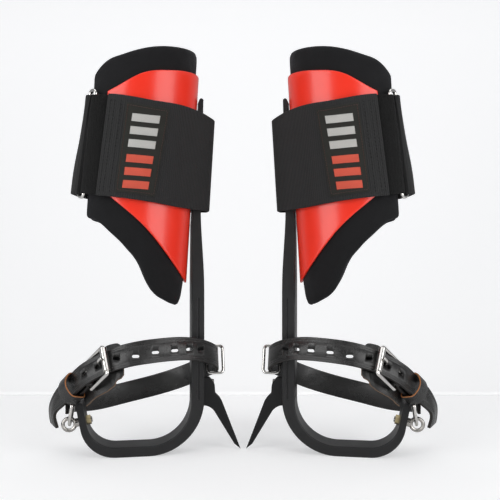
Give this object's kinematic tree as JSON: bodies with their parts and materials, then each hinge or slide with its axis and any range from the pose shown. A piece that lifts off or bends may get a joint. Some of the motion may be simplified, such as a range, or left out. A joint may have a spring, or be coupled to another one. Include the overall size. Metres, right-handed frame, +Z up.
{
  "type": "tree climbing spurs",
  "caption": "Pair of climbing spurs: stirrup bars with side gaffs, padded calf cups with wrap straps, and buckled leather foot straps.",
  "frame": {"origin": "floor level midway between the two spurs and midway between their front and back", "axes": "+Z up along the shanks, +X from the wearer's right spur to the left one, -Y the way the toes point"},
  "size_m": [0.429, 0.1348, 0.4352],
  "materials": {
    "anodised_bar": "satin black anodised",
    "spike_steel": "satin black coated steel",
    "bright_steel": "turned and plated",
    "chrome_wire": "polished nickel plate",
    "brass_nut": "yellow zinc plated",
    "dark_plastic": "moulded",
    "red_shell": "glossy moulded shell",
    "foam_pad": "napped cloth over foam",
    "webbing": "heavy woven nylon",
    "label_cloth": "fine woven patch with plain bars",
    "hook_tape": "hook side of a touch fastener",
    "loop_tape": "loop side of a touch fastener",
    "strap_leather": "waxed black leather with creased edges"
  },
  "bodies": {
    "right_frame": {"right_shank_stirrup": "anodised_bar", "right_gaff": "spike_steel", "right_gaff_screws": "bright_steel", "right_eye_bolt": "bright_steel", "right_eye_nut": "brass_nut", "right_foot_strap": "strap_leather", "right_buckle_strap": "strap_leather", "right_buckle_underlay": "strap_leather", "right_strap_rivet": "bright_steel", "right_ring_staple": "spike_steel", "right_staple_rivets": "bright_steel"},
    "right_cup": {"right_saddle": "dark_plastic", "right_clamp_plate": "bright_steel", "right_backing_plate": "bright_steel", "right_calf_shell": "red_shell", "right_calf_pad": "foam_pad", "right_shell_rivets": "bright_steel", "right_calf_strap_wrap": "webbing"},
    "right_lock_screw": {"right_lock_screw": "bright_steel"},
    "right_strap_flap": {"right_calf_strap_flap": "webbing", "right_label_patch": "label_cloth", "right_hook_patch": "hook_tape"},
    "right_strap_ring": {"right_strap_ring": "chrome_wire", "right_loop_band": "loop_tape"},
    "right_shank_ring": {"right_shank_ring": "chrome_wire"},
    "right_bail": {"right_bail": "chrome_wire"},
    "right_buckle": {"right_buckle_frame": "chrome_wire"},
    "right_roller": {"right_buckle_roller": "chrome_wire"},
    "right_tongue": {"right_buckle_tongue": "chrome_wire"},
    "right_keeper": {"right_keeper_loop": "strap_leather"},
    "left_frame": {"left_shank_stirrup": "anodised_bar", "left_gaff": "spike_steel", "left_gaff_screws": "bright_steel", "left_eye_bolt": "bright_steel", "left_eye_nut": "brass_nut", "left_foot_strap": "strap_leather", "left_buckle_strap": "strap_leather", "left_buckle_underlay": "strap_leather", "left_strap_rivet": "bright_steel", "left_ring_staple": "spike_steel", "left_staple_rivets": "bright_steel"},
    "left_cup": {"left_saddle": "dark_plastic", "left_clamp_plate": "bright_steel", "left_backing_plate": "bright_steel", "left_calf_shell": "red_shell", "left_calf_pad": "foam_pad", "left_shell_rivets": "bright_steel", "left_calf_strap_wrap": "webbing"},
    "left_lock_screw": {"left_lock_screw": "bright_steel"},
    "left_strap_flap": {"left_calf_strap_flap": "webbing", "left_label_patch": "label_cloth", "left_hook_patch": "hook_tape"},
    "left_strap_ring": {"left_strap_ring": "chrome_wire", "left_loop_band": "loop_tape"},
    "left_shank_ring": {"left_shank_ring": "chrome_wire"},
    "left_bail": {"left_bail": "chrome_wire"},
    "left_buckle": {"left_buckle_frame": "chrome_wire"},
    "left_roller": {"left_buckle_roller": "chrome_wire"},
    "left_tongue": {"left_buckle_tongue": "chrome_wire"},
    "left_keeper": {"left_keeper_loop": "strap_leather"}
  },
  "joints": [
    {"name": "right_cup_height", "type": "slide", "parent": "right_frame", "child": "right_cup", "axis": [0.0603, 0.0095, 0.9981], "range_m": [-0.02, 0.02]},
    {"name": "right_screw_turn", "type": "hinge", "parent": "right_cup", "child": "right_lock_screw", "pos_m": [-0.0549, 0.00868, 0.29991], "axis": [0.9858, 0.1561, -0.061], "continuous": true},
    {"name": "right_flap_peel", "type": "hinge", "parent": "right_cup", "child": "right_strap_flap", "pos_m": [-0.0371, -0.00622, 0.315], "axis": [0.0603, 0.0095, 0.9981], "range_deg": [0, 70]},
    {"name": "right_strap_ring_swing", "type": "hinge", "parent": "right_cup", "child": "right_strap_ring", "pos_m": [-0.16457, -0.03937, 0.33318], "axis": [-0.1355, 0.0747, -0.988], "range_deg": [0, 17.5]},
    {"name": "right_shank_ring_swing", "type": "hinge", "parent": "right_frame", "child": "right_shank_ring", "pos_m": [-0.04092, 0.01089, 0.101], "axis": [-0.0586, 0.37, 0.9272], "range_deg": [-15, 15]},
    {"name": "right_bail_swing", "type": "hinge", "parent": "right_frame", "child": "right_bail", "pos_m": [-0.18364, -0.01171, 0.059], "axis": [-0.1564, 0.9877, 0], "range_deg": [-3.5, 0.5]},
    {"name": "right_buckle_tilt", "type": "hinge", "parent": "right_frame", "child": "right_buckle", "pos_m": [-0.16075, -0.03733, 0.09088], "axis": [0.2744, -0.552, -0.7874], "range_deg": [0, 5]},
    {"name": "right_roller_spin", "type": "hinge", "parent": "right_buckle", "child": "right_roller", "pos_m": [-0.13997, -0.05542, 0.1108], "axis": [0.2744, -0.552, -0.7874], "continuous": true},
    {"name": "right_tongue_lift", "type": "hinge", "parent": "right_buckle", "child": "right_tongue", "pos_m": [-0.16075, -0.03733, 0.09088], "axis": [0.2744, -0.552, -0.7874], "range_deg": [0, 5]},
    {"name": "right_keeper_slide", "type": "slide", "parent": "right_frame", "child": "right_keeper", "axis": [-0.6112, 0.532, -0.586], "range_m": [-0.002, 0.002]},
    {"name": "left_cup_height", "type": "slide", "parent": "left_frame", "child": "left_cup", "axis": [-0.0603, 0.0095, 0.9981], "range_m": [-0.02, 0.02]},
    {"name": "left_screw_turn", "type": "hinge", "parent": "left_cup", "child": "left_lock_screw", "pos_m": [0.0549, 0.00868, 0.29991], "axis": [0.9858, -0.1561, 0.061], "continuous": true},
    {"name": "left_flap_peel", "type": "hinge", "parent": "left_cup", "child": "left_strap_flap", "pos_m": [0.0371, -0.00622, 0.315], "axis": [0.0603, -0.0095, -0.9981], "range_deg": [0, 70]},
    {"name": "left_strap_ring_swing", "type": "hinge", "parent": "left_cup", "child": "left_strap_ring", "pos_m": [0.16457, -0.03937, 0.33318], "axis": [-0.1355, -0.0747, 0.988], "range_deg": [0, 17.5]},
    {"name": "left_shank_ring_swing", "type": "hinge", "parent": "left_frame", "child": "left_shank_ring", "pos_m": [0.04092, 0.01089, 0.101], "axis": [-0.0586, -0.37, -0.9272], "range_deg": [-15, 15]},
    {"name": "left_bail_swing", "type": "hinge", "parent": "left_frame", "child": "left_bail", "pos_m": [0.18364, -0.01171, 0.059], "axis": [-0.1564, -0.9877, 0], "range_deg": [-3.5, 0.5]},
    {"name": "left_buckle_tilt", "type": "hinge", "parent": "left_frame", "child": "left_buckle", "pos_m": [0.16075, -0.03733, 0.09088], "axis": [0.2744, 0.552, 0.7874], "range_deg": [0, 5]},
    {"name": "left_roller_spin", "type": "hinge", "parent": "left_buckle", "child": "left_roller", "pos_m": [0.13997, -0.05542, 0.1108], "axis": [0.2744, 0.552, 0.7874], "continuous": true},
    {"name": "left_tongue_lift", "type": "hinge", "parent": "left_buckle", "child": "left_tongue", "pos_m": [0.16075, -0.03733, 0.09088], "axis": [0.2744, 0.552, 0.7874], "range_deg": [0, 5]},
    {"name": "left_keeper_slide", "type": "slide", "parent": "left_frame", "child": "left_keeper", "axis": [0.6112, 0.532, -0.586], "range_m": [-0.002, 0.002]},
    {"name": "stance_width", "type": "slide", "parent": "right_frame", "child": "left_frame", "axis": [1, 0, 0], "range_m": [0, 0.1]}
  ],
  "couplings": [
    {"joint": "right_strap_ring_swing", "follows": "right_flap_peel", "ratio": 0.25},
    {"joint": "left_strap_ring_swing", "follows": "left_flap_peel", "ratio": 0.25}
  ]
}
